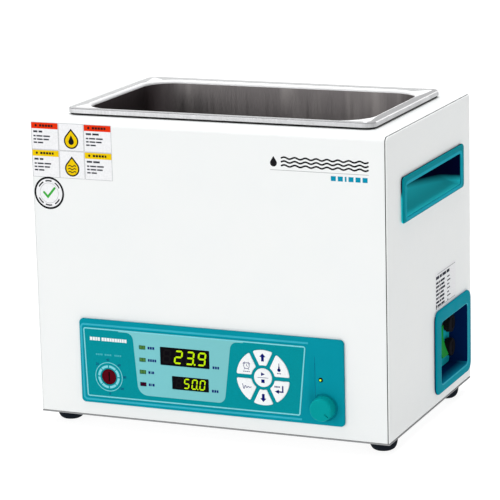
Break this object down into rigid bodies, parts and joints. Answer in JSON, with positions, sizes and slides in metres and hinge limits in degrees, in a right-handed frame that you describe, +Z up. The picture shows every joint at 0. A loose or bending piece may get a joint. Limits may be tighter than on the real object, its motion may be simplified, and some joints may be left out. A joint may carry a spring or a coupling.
{
  "type": "water bath",
  "caption": "Bench water bath: white sheet steel case round a drawn stainless tank, teal control panel with displays, keypad, dial and knob, side grips and a switch recess.",
  "frame": {"origin": "bottom centre of the whole object's box, on the surface the feet stand on", "axes": "+X to the operator's right, +Y to the rear, +Z up; the control panel faces -Y"},
  "size_m": [0.345, 0.243, 0.2913],
  "materials": {
    "white_paint": "fine satin powder coat",
    "stainless_steel": "brushed, drawn",
    "galvanised_steel": "dull zinc",
    "transformer_iron": "varnished laminations",
    "heat_sink_aluminium": "extruded",
    "teal_plastic": "moulded, satin",
    "printed_overlay": "printed film",
    "white_key": "satin",
    "display_window": "smoked, polished",
    "indicator_lens": "translucent",
    "black_plastic": "moulded",
    "dark_red_plastic": "polished",
    "green_rocker": "translucent, polished",
    "black_rubber": "moulded",
    "circuit_board": "solder mask",
    "insulation_felt": "pressed felt",
    "silicone_heater": "silicone sheet",
    "copper_capillary": "drawn"
  },
  "bodies": {
    "bath": {"base_plate": "white_paint", "front_top_shell": "white_paint", "rear_panel": "white_paint", "side_panel_left": "white_paint", "side_panel_right": "white_paint", "tank": "stainless_steel", "temperature_probe": "stainless_steel", "heater_bracket": "galvanised_steel", "potentiometer": "galvanised_steel", "rear_screw_lower_left": "galvanised_steel", "rear_screw_lower_right": "galvanised_steel", "rear_screw_upper_left": "galvanised_steel", "rear_screw_upper_right": "galvanised_steel", "foot_screw_front_left": "galvanised_steel", "foot_screw_front_right": "galvanised_steel", "foot_screw_rear_left": "galvanised_steel", "foot_screw_rear_right": "galvanised_steel", "transformer": "transformer_iron", "heat_sink": "heat_sink_aluminium", "bezel": "teal_plastic", "grip_recess_left": "teal_plastic", "grip_recess_right": "teal_plastic", "power_recess": "teal_plastic", "overlay": "printed_overlay", "terminal_block": "white_key", "display_measured": "display_window", "display_set": "display_window", "indicator_1": "indicator_lens", "indicator_2": "indicator_lens", "indicator_3": "indicator_lens", "indicator_4": "indicator_lens", "pilot_lamp": "indicator_lens", "switch_housing": "black_plastic", "fuse_holder_upper": "black_plastic", "fuse_holder_lower": "black_plastic", "power_inlet": "black_plastic", "limit_thermostat": "black_plastic", "solid_state_relay": "black_plastic", "rim_gasket": "black_rubber", "foot_front_left": "black_rubber", "foot_front_right": "black_rubber", "foot_rear_left": "black_rubber", "foot_rear_right": "black_rubber", "display_board": "circuit_board", "control_board": "circuit_board", "tank_insulation": "insulation_felt", "heater_pad": "silicone_heater", "limit_bulb": "copper_capillary"},
    "key_up": {"key_up": "white_key"},
    "key_timer": {"key_timer": "white_key"},
    "key_auto_tune": {"key_auto_tune": "white_key"},
    "key_down": {"key_down": "white_key"},
    "key_enter": {"key_enter": "white_key"},
    "key_temperature": {"key_temperature": "white_key"},
    "key_start_stop": {"key_start_stop": "white_key"},
    "knob": {"knob": "teal_plastic"},
    "limit_dial": {"limit_dial": "dark_red_plastic"},
    "power_rocker": {"power_rocker": "green_rocker"},
    "fuse_cap_upper": {"fuse_cap_upper": "black_plastic"},
    "fuse_cap_lower": {"fuse_cap_lower": "black_plastic"}
  },
  "joints": [
    {"name": "key_up_press", "type": "slide", "parent": "bath", "child": "key_up", "axis": [0, 1, 0], "range_m": [0, 0.0004], "stiffness_N_per_m": 800},
    {"name": "key_timer_press", "type": "slide", "parent": "bath", "child": "key_timer", "axis": [0, 1, 0], "range_m": [0, 0.0004], "stiffness_N_per_m": 800},
    {"name": "key_auto_tune_press", "type": "slide", "parent": "bath", "child": "key_auto_tune", "axis": [0, 1, 0], "range_m": [0, 0.0004], "stiffness_N_per_m": 800},
    {"name": "key_down_press", "type": "slide", "parent": "bath", "child": "key_down", "axis": [0, 1, 0], "range_m": [0, 0.0004], "stiffness_N_per_m": 800},
    {"name": "key_enter_press", "type": "slide", "parent": "bath", "child": "key_enter", "axis": [0, 1, 0], "range_m": [0, 0.0004], "stiffness_N_per_m": 800},
    {"name": "key_temperature_press", "type": "slide", "parent": "bath", "child": "key_temperature", "axis": [0, 1, 0], "range_m": [0, 0.0004], "stiffness_N_per_m": 800},
    {"name": "key_start_stop_press", "type": "slide", "parent": "bath", "child": "key_start_stop", "axis": [0, 1, 0], "range_m": [0, 0.0004], "stiffness_N_per_m": 800},
    {"name": "power_rocker_tilt", "type": "hinge", "parent": "bath", "child": "power_rocker", "pos_m": [0.154, 0.072, 0.0575], "axis": [0, 1, 0], "range_deg": [0, 20]},
    {"name": "limit_dial_turn", "type": "hinge", "parent": "bath", "child": "limit_dial", "pos_m": [-0.099, -0.1108, 0.0513], "axis": [0, 1, 0], "range_deg": [-112, 112]},
    {"name": "knob_turn", "type": "hinge", "parent": "bath", "child": "knob", "pos_m": [0.1103, -0.1215, 0.0422], "axis": [0, 1, 0], "range_deg": [-150, 150]},
    {"name": "fuse_cap_upper_turn", "type": "hinge", "parent": "bath", "child": "fuse_cap_upper", "pos_m": [0.1555, 0.094, 0.071], "axis": [1, 0, 0], "range_deg": [0, 60]},
    {"name": "fuse_cap_lower_turn", "type": "hinge", "parent": "bath", "child": "fuse_cap_lower", "pos_m": [0.1555, 0.094, 0.048], "axis": [1, 0, 0], "range_deg": [0, 60]}
  ]
}
